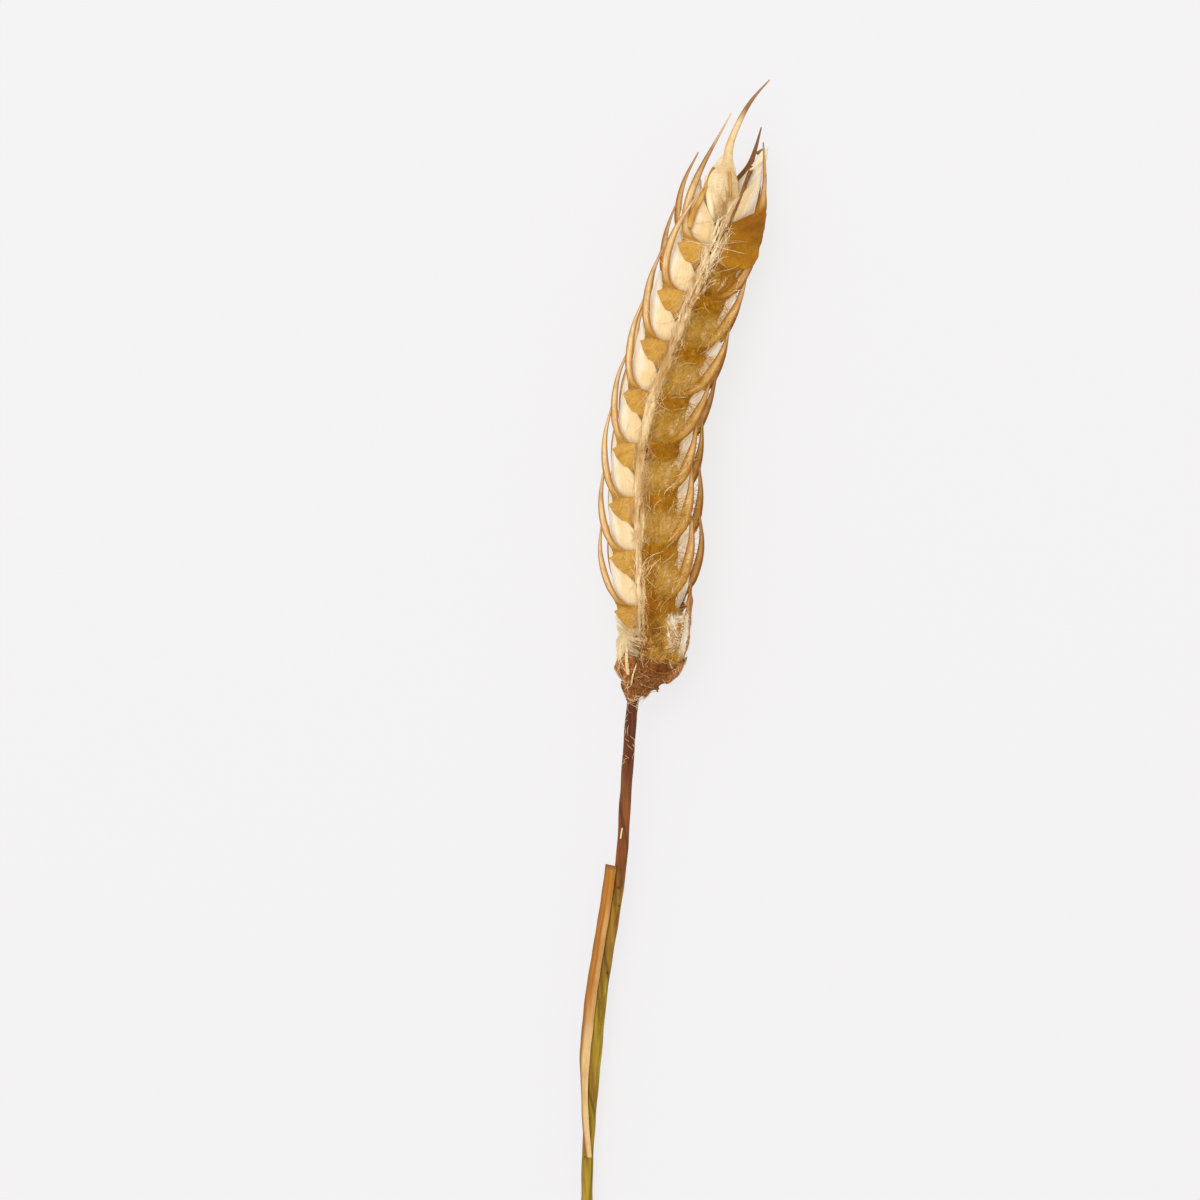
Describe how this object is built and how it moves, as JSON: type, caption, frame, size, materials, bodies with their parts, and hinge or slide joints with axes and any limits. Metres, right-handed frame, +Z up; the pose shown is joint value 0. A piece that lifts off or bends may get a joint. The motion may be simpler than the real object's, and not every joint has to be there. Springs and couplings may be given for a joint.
{
  "type": "dried wheat ear",
  "caption": "Dried ear of wheat on its own cut stem, lying flat: two rows of pale florets in ochre husks with long awns, a fibre ridge and a wrapped leaf strip.",
  "frame": {"origin": "on the surface it lies on, under the middle of the whole ear's bounding box", "axes": "+Y along the stem from the cut end to the ear's tip, +X the ear's right side, +Z up, out of the ear's front"},
  "size_m": [0.0336, 0.2011, 0.0143],
  "materials": {
    "straw_husk": "dry ochre husk, finely ribbed, matt with a slight sheen on the ribs",
    "pale_floret": "cream, papery and woolly, lets light through",
    "raffia_fibre": "pale beige plant fibres, twisted, matt",
    "red_brown_bract": "torn dry bract, red-brown, matt",
    "brown_stem": "dry stem, red-brown above and olive below, satin",
    "golden_leaf": "dry golden leaf with fine lengthwise veins, satin"
  },
  "bodies": {
    "root": {"back_fibre_ridge": "raffia_fibre", "collar_bract_left": "red_brown_bract", "collar_bract_low": "red_brown_bract", "collar_bract_right": "red_brown_bract", "culm": "brown_stem", "front_fibre_ridge": "raffia_fibre", "leaf_sheath": "golden_leaf", "left_back_glume_1": "straw_husk", "left_back_glume_2": "straw_husk", "left_back_glume_3": "straw_husk", "left_back_glume_4": "straw_husk", "left_back_glume_5": "straw_husk", "left_back_glume_6": "straw_husk", "left_back_glume_7": "straw_husk", "left_back_glume_8": "straw_husk", "left_basal_floret": "pale_floret", "left_floret_1": "pale_floret", "left_floret_2": "pale_floret", "left_floret_3": "pale_floret", "left_floret_4": "pale_floret", "left_floret_5": "pale_floret", "left_floret_6": "pale_floret", "left_floret_7": "pale_floret", "left_floret_8": "pale_floret", "left_front_glume_1": "straw_husk", "left_front_glume_2": "straw_husk", "left_front_glume_3": "straw_husk", "left_front_glume_4": "straw_husk", "left_front_glume_5": "straw_husk", "left_front_glume_6": "straw_husk", "left_front_glume_7": "straw_husk", "left_front_glume_8": "straw_husk", "right_back_glume_1": "straw_husk", "right_back_glume_2": "straw_husk", "right_back_glume_3": "straw_husk", "right_back_glume_4": "straw_husk", "right_back_glume_5": "straw_husk", "right_back_glume_6": "straw_husk", "right_back_glume_7": "straw_husk", "right_back_glume_8": "straw_husk", "right_basal_floret": "pale_floret", "right_floret_1": "pale_floret", "right_floret_2": "pale_floret", "right_floret_3": "pale_floret", "right_floret_4": "pale_floret", "right_floret_5": "pale_floret", "right_floret_6": "pale_floret", "right_floret_7": "pale_floret", "right_floret_8": "pale_floret", "right_front_glume_1": "straw_husk", "right_front_glume_2": "straw_husk", "right_front_glume_3": "straw_husk", "right_front_glume_4": "straw_husk", "right_front_glume_5": "straw_husk", "right_front_glume_6": "straw_husk", "right_front_glume_7": "straw_husk", "right_front_glume_8": "straw_husk", "terminal_back_glume": "straw_husk", "terminal_floret": "pale_floret", "terminal_front_glume": "straw_husk"}
  },
  "joints": []
}
